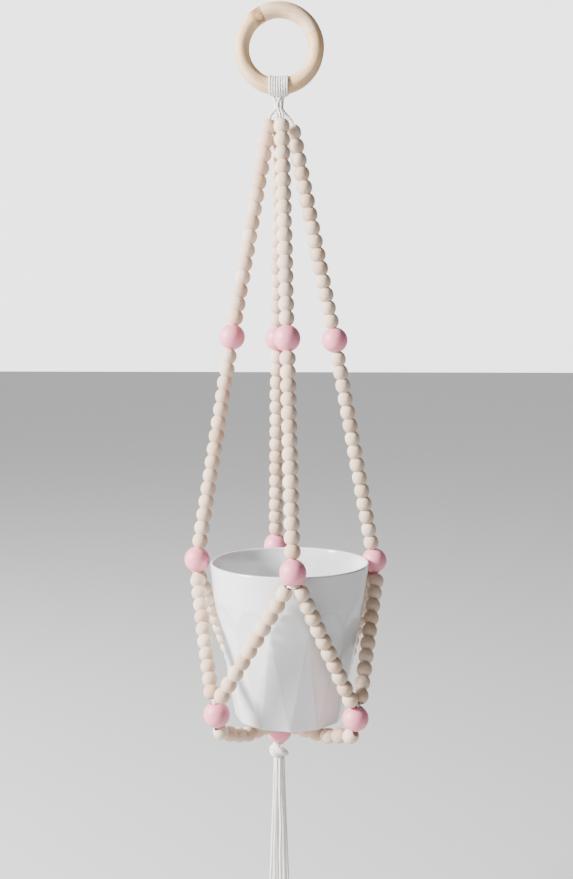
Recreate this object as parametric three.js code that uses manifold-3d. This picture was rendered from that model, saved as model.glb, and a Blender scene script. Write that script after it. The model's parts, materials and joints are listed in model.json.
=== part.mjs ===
// A beaded plant hanger: a wooden ring, four cords folded over it in a lark's head, strands of
// wooden beads with painted beads between them, a net of beads under a tapered pot, and a tassel.
// Millimetres, +Z up. The origin is the top of the ring's eye, where a hook bears.
import * as THREE from "three";
import { mergeVertices } from "three/addons/utils/BufferGeometryUtils.js";
import { ParametricGeometry } from "three/addons/geometries/ParametricGeometry.js";
import Module from "manifold-3d";

const wasm = await Module();
wasm.setup();

// Driving dimensions.
const clearance = 0.3; // between pieces that touch on the real object
const rest = 0.4; // between a bead and what it lies against
const cordRoom = 0.9; // from a bore's end to where its cords may bend
const ring = { wide: 68.5, tall: 69.5, eyeWide: 45, eyeTall: 44.5, depth: 12 };
const wood = { diameter: 12, length: 10.5, end: 5.8, band: 4, sides: 6 };
const pink = { diameter: 20, sides: 10, bands: 6 };
const cord = { diameter: 1.9, gap: 0.32, sides: 6, tail: 2.2, tailSides: 8 };
// How much wider than the cords in it a bore is: through a wooden bead, a painted bead on one
// strand, a painted bead where two strands meet, and the last bead with all eight cords.
const boreRoom = { wood: 0.88, pink: 1.88, shared: 2.68, wide: 0.7 };
const wrap = { width: 14.8, thickness: 1.5, gather: 7.6, gatherFlare: 0.8, gatherHeight: 3.6 };
const upperCount = 15; // wooden beads from the neck to the upper painted bead
const lowerCount = 15; // from there to the painted bead at the rim
const diagonalCount = 10; // on each side of the diamond below the rim
const firstBeadBelowRing = 23.5; // from the ring's lowest point to the highest bead's centre
const neckGap = 0.5; // between the first beads of neighbouring strands
const shoulderRadius = 41.3; // to the upper painted beads
const sideGap = 0.9; // between the last beads of two strands that share a painted bead
const shareGap = 0.75; // and how much further from it they are than a bead on its own line
const sway = { neck: 1.9, shoulder: 4.9, pot: 8.1 }; // off the plumb line, along X
// Each strand's azimuth, how much lower than the first it starts, and how much longer its lower run is
// than its beads' nominal length.
const strands = [
  { name: "left", azimuth: 181, drop: 0, longer: 0 },
  { name: "front", azimuth: 275, drop: 1.1, longer: -4.5 },
  { name: "right", azimuth: 23, drop: 3.8, longer: 3.5 },
  { name: "back", azimuth: 102, drop: 2.3, longer: 0 },
];
// The net's corners, the first between the first two strands and so on round: each painted bead's
// azimuth about the pot's axis, how far outside the pot's rim it is, and how much longer than nominal
// the runs down to it are.
const netCorners = [
  { azimuth: 226, beyondRim: 12.5, longer: -2.7 },
  { azimuth: 320.5, beyondRim: 5.5, longer: 2.4 },
  { azimuth: 60, beyondRim: 11.5, longer: 0 },
  { azimuth: 126, beyondRim: 11.5, longer: 0 },
];
const pot = { rimRadius: 62.5, baseRadius: 42.9, height: 124.3, wall: 3.2, lip: 2, floor: 5, sides: 32 };
const potBend = { below: 27, inwards: 2.2 }; // where the steep upper wall turns into the taper
const potEdge = { across: 1.5, up: 1.2, rim: 1, lipDepth: 8, cove: 3, coveRise: 4 };
const netDepth = 120.3; // from the centre of the lowest painted bead at the rim down to the pot's foot
const underRimTilt = 4; // degrees that the first beads under a rim bead stand inwards of it
const leastTilt = 16; // degrees that a base bead's bore leans in at its foot
// A run of beads under the pot: where it sags most, as a share of the way to the foot's edge, how far it
// sags there and at the edge, how far past the edge it stays level, and how it then starts to rise.
const underRun = { midway: 0.55, sag: 0.3, sagAtEdge: 0.2, pastEdge: 1.5, bendFrom: 3, rise: 0.3 };
const runRise = 2; // how far a run of beads under the pot rises at least to its base bead
const centreGap = 2.8; // from the pot's underside to the top of the last painted bead
const knot = { diameter: 14, height: 11.4, throat: 8, nose: 0.8, underside: 4.4 };
const tassel = { length: 160, turn: 11.25 };
// The tassel from the knot down: how far down, and how far its cords have spread from a tight ring.
const tasselSpread = [
  [0, 0],
  [8, 0.1],
  [22, 0.5],
  [38, 1.1],
  [56, 1.8],
  [76, 2.6],
  [98, 3.4],
  [120, 4],
  [140, 4.5],
  [160, 4.8],
];

// Eight cords stand in a ring where they all pass together, two to each strand or corner.
const pairStep = (cord.diameter + cord.gap) / 2;
const pairWidth = 2 * (pairStep + cord.diameter / 2);
const bundleRadius = pairStep / Math.sin(Math.PI / 8);
wood.bore = pairWidth + boreRoom.wood;
pink.bore = pairWidth + boreRoom.pink;
pink.sharedBore = pairWidth + boreRoom.shared;
pink.wideBore = 2 * bundleRadius + cord.diameter + boreRoom.wide;

const up = new THREE.Vector3(0, 0, 1);
const alongY = new THREE.Vector3(0, 1, 0);
const radians = THREE.MathUtils.degToRad;
const v = (x, y, z) => new THREE.Vector3(x, y, z);

const finishes = {
  ring: { color: 0xdcc6a6, roughness: 0.7, metalness: 0 },
  wood: { color: 0xe0d3c6, roughness: 0.8, metalness: 0 },
  pink: { color: 0xeebcc3, roughness: 0.5, metalness: 0 },
  cord: { color: 0xf4f3f1, roughness: 0.9, metalness: 0 },
  pot: { color: 0xeef0f2, roughness: 0.15, metalness: 0 },
};

const planter = new THREE.Group();

function add(name, geometry, finish) {
  const mesh = new THREE.Mesh(geometry, new THREE.MeshStandardMaterial(finishes[finish]));
  mesh.name = name;
  planter.add(mesh);
  return mesh;
}

// A piece turned from +Y to lie along a direction, with its middle at a point.
function lay(mesh, middle, direction) {
  mesh.position.copy(middle);
  mesh.quaternion.setFromUnitVectors(alongY, direction.clone().normalize());
}

function toSolid(geometry) {
  const plain = geometry.clone();
  plain.deleteAttribute("normal");
  plain.deleteAttribute("uv");
  const merged = mergeVertices(plain, 1e-4);
  return new wasm.Manifold(
    new wasm.Mesh({
      numProp: 3,
      vertProperties: merged.attributes.position.array,
      triVerts: new Uint32Array(merged.index.array),
    }),
  );
}

function toGeometry(solid) {
  const mesh = solid.getMesh();
  return new THREE.BufferGeometry()
    .setAttribute("position", new THREE.BufferAttribute(mesh.vertProperties, 3))
    .setIndex(new THREE.BufferAttribute(mesh.triVerts, 1));
}

// A solid of revolution about Y from a closed outline of [radius, height] pairs.
function turned(outline, sides) {
  const closed = [...outline, outline[0]].map(([r, h]) => new THREE.Vector2(r, h));
  return new THREE.LatheGeometry(closed, sides);
}

// ---- The ring: an oval centre line with a section that is thicker at its top and foot.
const ringMiddle = v(0, 0, -ring.eyeTall / 2);
const ringFoot = ringMiddle.z - ring.tall / 2;
const ringTube = {
  side: (ring.wide - ring.eyeWide) / 4,
  foot: (ring.tall - ring.eyeTall) / 4,
};

function ringSurface(u, w, target) {
  const turn = 2 * Math.PI * u;
  const round = -2 * Math.PI * w;
  const thick = THREE.MathUtils.lerp(ringTube.side, ringTube.foot, Math.sin(turn) ** 2);
  const x = ((ring.wide + ring.eyeWide) / 4 + thick * Math.cos(round)) * Math.cos(turn);
  const z = ((ring.tall + ring.eyeTall) / 4 + thick * Math.cos(round)) * Math.sin(turn);
  target.set(x, (ring.depth / 2) * Math.sin(round), z);
}

add("wooden_ring", new ParametricGeometry(ringSurface, 36, 12), "ring").position.copy(ringMiddle);

// ---- The lark's head: a sleeve of cords round the ring's foot, gathered into a neck below it.
// Its bore opens towards its ends, because the ring curves up out of it.
const hinge = v(0, 0, ringMiddle.z - (ring.tall + ring.eyeTall) / 4);
const gatherFoot = hinge.z - ringTube.foot - clearance - wrap.thickness - wrap.gatherHeight;

function larksHead() {
  const half = wrap.width / 2;
  const rise = half ** 2 / ((ring.wide + ring.eyeWide) / 2);
  const tube = Math.max(ringTube.foot, ring.depth / 2) + clearance;
  const boreAt = (h) => (tube + rise * (h / half) ** 2) / Math.cos(Math.PI / 16);
  const heights = [-half, -half / 2, 0, half / 2, half];
  const inner = heights.map((h) => [boreAt(h), h]);
  const outer = heights.map((h) => [boreAt(h) + wrap.thickness, h]);
  outer[0][0] -= wrap.thickness / 3;
  outer[4][0] -= wrap.thickness / 3;
  const sleeve = turned([...outer, ...inner.reverse()], 16);
  sleeve.rotateZ(-Math.PI / 2);
  const top = -boreAt(0) - wrap.thickness / 2;
  const foot = gatherFoot - hinge.z;
  const gatherRadius = wrap.gather / 2;
  const neck = turned([[0, foot], [gatherRadius, foot], [gatherRadius + wrap.gatherFlare, top], [0, top]], 12);
  neck.rotateX(Math.PI / 2);
  return toGeometry(toSolid(sleeve).add(toSolid(neck)));
}

add("larks_head_knot", larksHead(), "cord").position.copy(hinge);

// ---- Beads.
// The outline of a run of wooden beads about Y, its middle at the origin, with one bore through them
// all. A run that will be bent needs a step in its bore between each two beads.
function beadRun(count, pitch, stepped = false) {
  const start = (-count * pitch) / 2;
  const outline = [[wood.bore / 2, start], [wood.end / 2, start]];
  for (let i = 0; i < count; i++) {
    const middle = start + (i + 0.5) * pitch;
    outline.push([wood.diameter / 2, middle - wood.band / 2]);
    outline.push([wood.diameter / 2, middle + wood.band / 2]);
    outline.push([wood.end / 2, middle + pitch / 2]);
  }
  for (let i = count; i > (stepped ? 0 : count - 1); i--) {
    outline.push([wood.bore / 2, start + i * pitch]);
  }
  return outline;
}

function paintedBead(bore) {
  const radius = pink.diameter / 2;
  const edge = Math.acos(bore / 2 / radius);
  const outline = [];
  for (let i = 0; i <= pink.bands; i++) {
    const angle = -edge + (2 * edge * i) / pink.bands;
    outline.push([radius * Math.cos(angle), radius * Math.sin(angle)]);
  }
  return turned(outline, pink.sides);
}

// From a painted bead's centre to the centre of the wooden bead next to it on the same line.
const woodToPink = Math.sqrt(pink.diameter ** 2 - pink.bore ** 2) / 2 + wood.length / 2 + rest;
// Two strands that share a painted bead start this far along its bore, and this far to its side.
const shareStep = woodToPink + shareGap;
const sideStep = (wood.diameter + sideGap) / 2;

// ---- Where the strands go. Each hangs in the upright plane of its azimuth.
const outwards = (azimuth) => v(Math.cos(radians(azimuth)), Math.sin(radians(azimuth)), 0);
const sideways = (azimuth) => v(-Math.sin(radians(azimuth)), Math.cos(radians(azimuth)), 0);

function hangingPoint(azimuth, radius, offset, z) {
  return outwards(azimuth).multiplyScalar(radius).add(v(offset, 0, z));
}

// The point below another at a straight distance from it, at a given radius and offset.
function below(from, azimuth, radius, offset, distance) {
  const level = hangingPoint(azimuth, radius, offset, from.z);
  const away = level.distanceTo(from);
  return level.setZ(from.z - Math.sqrt(distance ** 2 - away ** 2));
}

const partings = strands.map((s, i) => {
  const next = strands[(i + 1) % strands.length];
  return (next.azimuth - s.azimuth + 360) % 360;
});
const neckRadius = (wood.diameter + neckGap) / 2 / Math.sin(radians(Math.min(...partings) / 2));
const rimRadius = pot.rimRadius + pink.diameter / 2 + rest;

for (const s of strands) {
  const top = ringFoot - firstBeadBelowRing - s.drop;
  s.first = hangingPoint(s.azimuth, neckRadius, sway.neck, top);
  const upperLength = (upperCount - 1) * wood.length + woodToPink;
  const lowerLength = (lowerCount - 1) * wood.length + 2 * woodToPink + s.longer;
  s.upper = below(s.first, s.azimuth, shoulderRadius, sway.shoulder, upperLength);
  s.rim = below(s.upper, s.azimuth, rimRadius, sway.pot, lowerLength);
  s.side = sideways(s.azimuth);
}

const lowestRimBead = Math.min(...strands.map((s) => s.rim.z));
const potFoot = lowestRimBead - netDepth;
const centre = v(0, 0, potFoot - centreGap - pink.diameter / 2);
const runLevel = potFoot - wood.diameter / 2 - rest; // of the runs under the pot's foot
const runEnd = woodToPink - wood.length / 2; // from a painted bead's centre to a run's end

// Where a diagonal run starts beside a strand's painted bead at the rim.
function besideRim(s, way) {
  const tilt = radians(underRimTilt);
  const down = v(0, 0, -Math.cos(tilt)).addScaledVector(outwards(s.azimuth), -Math.sin(tilt));
  return s.rim.clone().addScaledVector(down, shareStep).addScaledVector(s.side, way * sideStep);
}

// How low a corner's painted bead hangs on a diagonal run from a strand's painted bead.
function hangFrom(s, way, longer, flat, side) {
  const start = besideRim(s, way);
  const end = flat.clone().addScaledVector(side, -way * sideStep).setZ(start.z);
  const length = (diagonalCount - 1) * wood.length + longer;
  return start.z - Math.sqrt(length ** 2 - end.distanceToSquared(start)) - shareStep;
}

const corners = strands.map((s, i) => {
  const next = strands[(i + 1) % strands.length];
  const { azimuth, beyondRim, longer } = netCorners[i];
  const side = sideways(azimuth);
  const bead = hangingPoint(azimuth, pot.rimRadius + beyondRim, sway.pot, 0);
  bead.setZ((hangFrom(s, 1, longer, bead, side) + hangFrom(next, -1, longer, bead, side)) / 2);
  const lean = bead.clone().sub(centre).setZ(0).normalize();
  const leastLean = Math.cos(radians(leastTilt));
  const tilt = Math.acos(Math.min(leastLean, (bead.z - runLevel - runRise) / runEnd));
  const bore = up.clone().multiplyScalar(Math.cos(tilt)).addScaledVector(lean, Math.sin(tilt));
  return { name: `${s.name}_${next.name}`, from: s, to: next, bead, side, lean, bore };
});

// ---- The strands down to the rim.
function straightRun(name, count, from, to) {
  const pitch = from.distanceTo(to) / (count - 1);
  const mesh = add(name, turned(beadRun(count, pitch), wood.sides), "wood");
  lay(mesh, from.clone().add(to).multiplyScalar(0.5), to.clone().sub(from));
  return { from, to, direction: to.clone().sub(from).normalize(), half: pitch / 2 };
}

function painted(name, middle, direction, bore) {
  lay(add(name, paintedBead(bore), "pink"), middle, direction);
}

// The point on the way from one point to another, a set distance before the second.
function shortOf(from, to, distance) {
  return to.clone().add(from.clone().sub(to).setLength(distance));
}

for (const s of strands) {
  const upperLast = shortOf(s.first, s.upper, woodToPink);
  const lowerFirst = shortOf(s.rim, s.upper, woodToPink);
  const lowerLast = shortOf(s.upper, s.rim, woodToPink);
  s.upperRun = straightRun(`upper_beads_${s.name}`, upperCount, s.first, upperLast);
  s.lowerRun = straightRun(`lower_beads_${s.name}`, lowerCount, lowerFirst, lowerLast);
  painted(`shoulder_bead_${s.name}`, s.upper, s.upper.clone().sub(s.first), pink.bore);
  painted(`rim_bead_${s.name}`, s.rim, s.rim.clone().sub(s.upper), pink.sharedBore);
}

// ---- The net's diagonals. Two of them share the painted bead at each end.
for (const c of corners) {
  const lift = up.clone().multiplyScalar(shareStep);
  const onLeft = c.bead.clone().add(lift).addScaledVector(c.side, -sideStep);
  const onRight = c.bead.clone().add(lift).addScaledVector(c.side, sideStep);
  const near = besideRim(c.from, 1);
  const far = besideRim(c.to, -1);
  c.fromRun = straightRun(`diagonal_${c.from.name}_to_${c.to.name}`, diagonalCount, near, onLeft);
  c.toRun = straightRun(`diagonal_${c.to.name}_to_${c.from.name}`, diagonalCount, far, onRight);
  painted(`base_bead_${c.name}`, c.bead, c.bore, pink.sharedBore);
}
painted("centre_bead", centre, up, pink.wideBore);

// ---- The runs under the pot. Each goes level under the pot's foot, past its edge, and then rises
// into the foot of a painted bead.
// How far the pot's edge is from the centre bead's line, going out in a direction.
function edgeDistance(direction) {
  const along = sway.pot * direction.x;
  const across = sway.pot * direction.y;
  return along + Math.sqrt(pot.baseRadius ** 2 - across ** 2);
}

function underPot(c) {
  const at = (distance, z) => c.lean.clone().multiplyScalar(distance).setZ(z);
  const edge = edgeDistance(c.lean);
  const end = c.bead.clone().addScaledVector(c.bore, -runEnd);
  const reach = Math.hypot(end.x, end.y);
  return new THREE.CatmullRomCurve3([
    at(runEnd, runLevel),
    at(edge * underRun.midway, runLevel - underRun.sag),
    at(edge + underRun.pastEdge, runLevel - underRun.sagAtEdge),
    at((edge + underRun.bendFrom + reach) / 2, THREE.MathUtils.lerp(runLevel, end.z, underRun.rise)),
    end.clone().addScaledVector(c.bore, -wood.length / 2),
    end,
  ]);
}

// Carries a shape that was turned about Y along a curve that lies in an upright plane.
function bent(geometry, length, curve, side) {
  const position = geometry.attributes.position;
  const moved = v(0, 0, 0);
  for (let i = 0; i < position.count; i++) {
    const share = THREE.MathUtils.clamp(position.getY(i) / length + 0.5, 0, 1);
    const across = curve.getTangentAt(share).cross(side);
    moved.copy(curve.getPointAt(share));
    moved.addScaledVector(side, position.getX(i)).addScaledVector(across, -position.getZ(i));
    position.setXYZ(i, moved.x, moved.y, moved.z);
  }
  return geometry;
}

for (const c of corners) {
  c.curve = underPot(c);
  const length = c.curve.getLength();
  c.count = Math.round(length / wood.length);
  const across = c.lean.clone().cross(up);
  const straight = turned(beadRun(c.count, length / c.count, true), wood.sides);
  add(`base_beads_${c.name}`, bent(straight, length, c.curve, across), "wood");
}

// ---- The cords. A route is a list of points, and the tube turns square to it at each one.
class Route extends THREE.Curve {
  constructor(points) {
    super();
    this.points = points;
  }
  getPoint(t, target = v(0, 0, 0)) {
    const at = t * (this.points.length - 1);
    const i = Math.min(Math.floor(at), this.points.length - 2);
    return target.lerpVectors(this.points[i], this.points[i + 1], at - i);
  }
  getPointAt(t, target) {
    return this.getPoint(t, target);
  }
  getTangentAt(t, target = v(0, 0, 0)) {
    const i = Math.round(t * (this.points.length - 1));
    const before = this.points[Math.max(i - 1, 0)];
    const here = this.points[i];
    const after = this.points[Math.min(i + 1, this.points.length - 1)];
    const arriving = here.clone().sub(before).normalize();
    const leaving = after.clone().sub(here).normalize();
    return target.copy(arriving).add(leaving).normalize();
  }
}

function tube(points, diameter, sides) {
  const section = new THREE.Shape();
  for (let i = 0; i < sides; i++) {
    const turn = (2 * Math.PI * i) / sides;
    const x = (diameter / 2) * Math.cos(turn);
    const y = (diameter / 2) * Math.sin(turn);
    if (i) section.lineTo(x, y);
    else section.moveTo(x, y);
  }
  section.closePath();
  const settings = { steps: points.length - 1, bevelEnabled: false, extrudePath: new Route(points) };
  return new THREE.ExtrudeGeometry(section, settings);
}

const eighth = 45; // degrees between neighbouring cords where all eight pass together
const neckTurn = 190; // azimuth of the left strand's two cords where they leave the lark's head
const footTurn = 231.5; // azimuth of the left front corner's two cords in the last bead
const bundlePoint = (azimuth, way, z) =>
  outwards(azimuth + (way * eighth) / 2).multiplyScalar(bundleRadius).setZ(z);
const knotTop = centre.z - Math.sqrt(pink.diameter ** 2 - pink.wideBore ** 2) / 2 - rest;
const fan = 5; // the cords start to part this far below the lark's head
const leadIn = 3; // and are side by side again this far above their strand's first bead
// Over the centre bead's shoulder: how far off its surface, and degrees up from level.
const shoulderRoute = [
  [2.4, 48.6],
  [2.25, 62.8],
  [1.26, 71.9],
];

// One end of a cord: down its strand, along a diagonal, under the pot and through the centre bead.
// way is 1 where it goes round to the strand's next corner, and -1 where it goes to the one before.
function cordEnd(s, c, way) {
  const strandTurn = neckTurn + 2 * eighth * strands.indexOf(s);
  const cornerTurn = footTurn + 2 * eighth * corners.indexOf(c);
  const run = way > 0 ? c.fromRun : c.toRun;
  const beside = (point) => point.clone().addScaledVector(s.side, way * pairStep);
  const along = (r, point, distance) => point.clone().addScaledVector(r.direction, distance);
  const points = [bundlePoint(strandTurn, way, gatherFoot - clearance)];
  points.push(bundlePoint(strandTurn, way, gatherFoot - fan));
  points.push(beside(along(s.upperRun, s.first, -s.upperRun.half - leadIn)));
  points.push(beside(along(s.upperRun, s.first, -s.upperRun.half)));
  points.push(beside(along(s.upperRun, s.upperRun.to, s.upperRun.half)));
  points.push(beside(along(s.lowerRun, s.lowerRun.from, -s.lowerRun.half)));
  points.push(beside(s.rim));
  points.push(beside(along(s.lowerRun, s.rim, pink.diameter / 2 + 2 * clearance)));
  points.push(along(run, run.from, -run.half - cordRoom));
  points.push(along(run, run.to, run.half + cordRoom));
  // On this side of the corner's bore, and of the run under the pot.
  const cornerStep = c.side.clone().multiplyScalar(-way * pairStep);
  const inCorner = (point) => point.clone().add(cornerStep);
  const overBead = pink.diameter / 2 + cord.diameter / 2 + rest;
  points.push(inCorner(c.bead.clone().addScaledVector(c.bore.clone().add(up).normalize(), overBead)));
  points.push(inCorner(c.bead.clone().addScaledVector(c.bore, pink.diameter / 2 + cordRoom)));
  for (let i = c.count; i >= 0; i--) points.push(inCorner(c.curve.getPointAt(i / c.count)));
  // Over the centre bead's shoulder and down its bore.
  for (const [off, degrees] of shoulderRoute) {
    const reach = pink.diameter / 2 + off;
    const over = c.lean.clone().multiplyScalar(reach * Math.cos(radians(degrees)));
    points.push(inCorner(over.setZ(centre.z + reach * Math.sin(radians(degrees)))));
  }
  points.push(bundlePoint(cornerTurn, -way, centre.z + pink.diameter / 2 - pink.bore / 4));
  points.push(bundlePoint(cornerTurn, -way, knotTop + clearance));
  return points;
}

strands.forEach((s, i) => {
  const before = corners[(i + corners.length - 1) % corners.length];
  add(`cord_${s.name}_a`, tube(cordEnd(s, corners[i], 1), cord.diameter, cord.sides), "cord");
  add(`cord_${s.name}_b`, tube(cordEnd(s, before, -1), cord.diameter, cord.sides), "cord");
});

// ---- The knot under the centre bead, and the tassel of the cords' eight ends.
// The knot's underside slopes up from a small nose, so that the tassel can swing clear of it.
const knotOutline = [
  [0, -knot.height],
  [knot.nose / 2, -knot.height],
  [knot.diameter * 0.43, -knot.height + knot.underside],
  [knot.diameter / 2, -knot.height * 0.5],
  [knot.diameter / 2, -knot.height * 0.34],
  [knot.diameter * 0.4, -knot.height * 0.08],
  [knot.throat / 2, 0],
  [0, 0],
];
const knotGeometry = turned(knotOutline, 14);
knotGeometry.rotateX(Math.PI / 2);
add("tassel_knot", knotGeometry, "cord").position.set(0, 0, knotTop);

const tasselTop = knotTop - knot.height - clearance;
const tightRadius = (cord.tail + rest) / 2 / Math.sin(Math.PI / 8);
const tasselShare = tassel.length / tasselSpread[tasselSpread.length - 1][0];
for (let i = 0; i < 2 * strands.length; i++) {
  const out = outwards(i * eighth + tassel.turn);
  const route = tasselSpread.map(([down, spread]) =>
    out.clone().multiplyScalar(tightRadius + spread).setZ(tasselTop - down * tasselShare),
  );
  add(`tassel_cord_${i + 1}`, tube(route, cord.tail, cord.tailSides), "cord");
}

// ---- The pot: a tapered vessel with a thin lip and a flat floor.
function vessel() {
  const bend = { radius: pot.rimRadius - potBend.inwards, height: pot.height - potBend.below };
  const flare = (bend.radius - pot.baseRadius) / bend.height;
  const inside = pot.baseRadius - pot.wall + flare * (pot.floor + potEdge.coveRise);
  const outline = [
    [0, 0],
    [pot.baseRadius - potEdge.across, 0],
    [pot.baseRadius, potEdge.up],
    [bend.radius, bend.height],
    [pot.rimRadius, pot.height - potEdge.rim],
    [pot.rimRadius - potEdge.rim / 2, pot.height],
    [pot.rimRadius - pot.lip, pot.height],
    [pot.rimRadius - pot.wall, pot.height - potEdge.lipDepth],
    [bend.radius - pot.wall, bend.height],
    [inside, pot.floor + potEdge.coveRise],
    [inside - potEdge.cove, pot.floor],
    [0, pot.floor],
  ];
  const shape = new THREE.LatheGeometry(outline.map(([r, h]) => new THREE.Vector2(r, h)), pot.sides);
  return shape.rotateX(Math.PI / 2);
}

add("ceramic_pot", vessel(), "pot").position.set(sway.pot, 0, potFoot);

export default planter;
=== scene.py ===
import json
import bpy
import numpy as np
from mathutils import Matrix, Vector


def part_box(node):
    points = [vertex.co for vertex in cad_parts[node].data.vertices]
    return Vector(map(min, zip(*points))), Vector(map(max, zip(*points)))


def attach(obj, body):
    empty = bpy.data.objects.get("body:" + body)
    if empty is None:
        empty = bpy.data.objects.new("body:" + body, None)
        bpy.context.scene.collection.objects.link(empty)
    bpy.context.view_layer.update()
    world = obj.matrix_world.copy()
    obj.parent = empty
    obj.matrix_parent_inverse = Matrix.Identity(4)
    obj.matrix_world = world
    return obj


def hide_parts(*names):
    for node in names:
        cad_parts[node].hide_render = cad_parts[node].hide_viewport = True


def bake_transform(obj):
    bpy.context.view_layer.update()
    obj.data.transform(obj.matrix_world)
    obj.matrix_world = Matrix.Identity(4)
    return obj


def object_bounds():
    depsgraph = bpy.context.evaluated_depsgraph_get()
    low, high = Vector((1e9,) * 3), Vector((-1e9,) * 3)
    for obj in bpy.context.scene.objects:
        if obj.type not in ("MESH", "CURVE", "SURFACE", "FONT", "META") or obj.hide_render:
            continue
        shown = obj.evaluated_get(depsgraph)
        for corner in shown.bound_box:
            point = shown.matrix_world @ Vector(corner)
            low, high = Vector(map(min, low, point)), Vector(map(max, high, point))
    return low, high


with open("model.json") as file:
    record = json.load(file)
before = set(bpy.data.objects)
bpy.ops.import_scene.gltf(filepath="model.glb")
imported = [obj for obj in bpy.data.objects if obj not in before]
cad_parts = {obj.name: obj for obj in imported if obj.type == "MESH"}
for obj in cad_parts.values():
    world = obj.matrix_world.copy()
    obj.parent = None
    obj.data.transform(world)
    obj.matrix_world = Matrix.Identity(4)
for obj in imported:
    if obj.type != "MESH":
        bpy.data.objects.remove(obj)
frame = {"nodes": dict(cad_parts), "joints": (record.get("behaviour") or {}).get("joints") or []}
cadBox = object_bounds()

mm = 0.001
joints = {j["name"]: j for j in frame["joints"]}


# ---- Vectors, paths and places.
def spot(x, y, z):
    return np.array([x, y, z], float)


def unit(vector):
    return vector / np.linalg.norm(vector)


def outwards(degrees):  # (cos a, sin a, 0)
    return spot(np.cos(np.radians(degrees)), np.sin(np.radians(degrees)), 0)


def sideways(degrees):  # (-sin a, cos a, 0)
    return outwards(degrees + 90)


def jointOf(name):  # where a joint is, and its axis
    joint = joints[name]
    return np.array(joint["pos_m"], float), unit(np.array(joint["axis"], float))


def cornersOf(node):
    low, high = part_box(node)
    return np.array(low, float), np.array(high, float)


def halfLength(node, middle, axis):  # the furthest that a node reaches along an axis from its middle
    mesh = frame["nodes"][node].data
    places = np.empty(len(mesh.vertices) * 3)
    mesh.vertices.foreach_get("co", places)
    return float(np.max((places.reshape(-1, 3) - middle) @ axis))


def alongPath(points, step):  # the same line with its points at equal steps
    gaps = np.linalg.norm(np.diff(points, axis=0), axis=1)
    reached = np.concatenate([[0], np.cumsum(gaps)])
    wanted = np.linspace(0, reached[-1], max(2, int(round(reached[-1] / step)) + 1))
    return np.stack([np.interp(wanted, reached, points[:, i]) for i in range(3)], axis=1)


def curveThrough(points, perSpan=24):
    # A centripetal Catmull-Rom curve: on each span, the cubic that leaves and arrives with the slopes
    # t1 = ((p1-p0)/d0 - (p2-p0)/(d0+d1) + (p2-p1)/d1) d1 and the like, where d = sqrt(distance).
    p = np.asarray(points, float)
    p = np.vstack([2 * p[0] - p[1], p, 2 * p[-1] - p[-2]])
    d = np.sqrt(np.linalg.norm(np.diff(p, axis=0), axis=1))[:, None]
    p0, p1, p2, p3 = p[:-3], p[1:-2], p[2:-1], p[3:]
    d0, d1, d2 = d[:-2], d[1:-1], d[2:]
    t1 = ((p1 - p0) / d0 - (p2 - p0) / (d0 + d1) + (p2 - p1) / d1) * d1
    t2 = ((p2 - p1) / d1 - (p3 - p1) / (d1 + d2) + (p3 - p2) / d2) * d1
    t = np.linspace(0, 1, perSpan, endpoint=False)[None, :, None]
    a, b, c, e = (x[:, None, :] for x in (p1, t1, 3 * (p2 - p1) - 2 * t1 - t2, 2 * (p1 - p2) + t1 + t2))
    line = (a + b * t + c * t**2 + e * t**3).reshape(-1, 3)
    return np.vstack([line, p[-2]])


def directionsOf(path):  # at each station, (next - before) / |next - before|
    ahead = np.gradient(path, axis=0)
    return ahead / np.linalg.norm(ahead, axis=1)[:, None]


def crossAxes(path, first):
    # Two axes square to the path at each station, carried on from the station before without a twist.
    ahead = directionsOf(path)
    axis = np.empty_like(ahead)
    last = np.asarray(first, float)
    for i, direction in enumerate(ahead):
        last = unit(last - direction * (last @ direction))
        axis[i] = last
    return axis, np.cross(ahead, axis)


# ---- Meshes.
def gridFaces(rows, columns, wrapRows=False):
    # Point (r, c) of a grid is number r columns + c, and a face joins (r, c), (r, c + 1), (r + 1, c + 1)
    # and (r + 1, c). The columns always close on themselves.
    r = np.arange(rows if wrapRows else rows - 1)[:, None]
    c = np.arange(columns)[None, :]
    r2, c2 = (r + 1) % rows, (c + 1) % columns
    corners = [r * columns + c, r * columns + c2, r2 * columns + c2, r2 * columns + c]
    return np.stack(np.broadcast_arrays(*corners), -1).reshape(-1, 4)


def capFaces(row, columns, pole):  # triangles from the last ring of a grid to one point
    c = np.arange(columns)
    return np.stack([row * columns + c, row * columns + (c + 1) % columns, np.full(columns, pole)], -1)


def outwardFaces(points, quads, triangles):
    # The volume under the faces is the sum of a . (b x c) / 6: where it is negative, they face inwards.
    split = np.vstack([quads[:, :3], quads[:, [0, 2, 3]], triangles])
    a, b, c = (points[split[:, i]] for i in range(3))
    if np.einsum("ij,ij->", a, np.cross(b, c)) < 0:
        return quads[:, ::-1], triangles[:, ::-1]
    return quads, triangles


def closedTube(path, radius, turns, first):
    # At the station p and the angle a the point is p + r (one cos a + two sin a), and a point at each end
    # closes the tube.
    one, two = crossAxes(path, first)
    cosine, sine = np.cos(turns)[..., None], np.sin(turns)[..., None]
    rings = path[:, None] + radius[..., None] * (one[:, None] * cosine + two[:, None] * sine)
    rows, columns = radius.shape
    count = rows * columns
    points = np.vstack([rings.reshape(-1, 3), path[0], path[-1]])
    tips = np.vstack([capFaces(0, columns, count)[:, ::-1], capFaces(rows - 1, columns, count + 1)])
    quads, tips = outwardFaces(points, gridFaces(rows, columns), tips)
    return points, quads, tips


def pliedSurface(valley, around, along, number):
    # What the cord's material reads: how far round and along a place is, and how deep between two plies,
    # where it paints shade.
    places = [np.broadcast_to(x / mm, valley.shape) for x in (around, along)]
    lie = np.stack(places + [np.full(valley.shape, float(number))], -1).reshape(-1, 3)
    return {"lie": np.vstack([lie, lie[0], lie[-1]]), "groove": np.concatenate([valley.ravel() ** 2, [0, 0]])}


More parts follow.
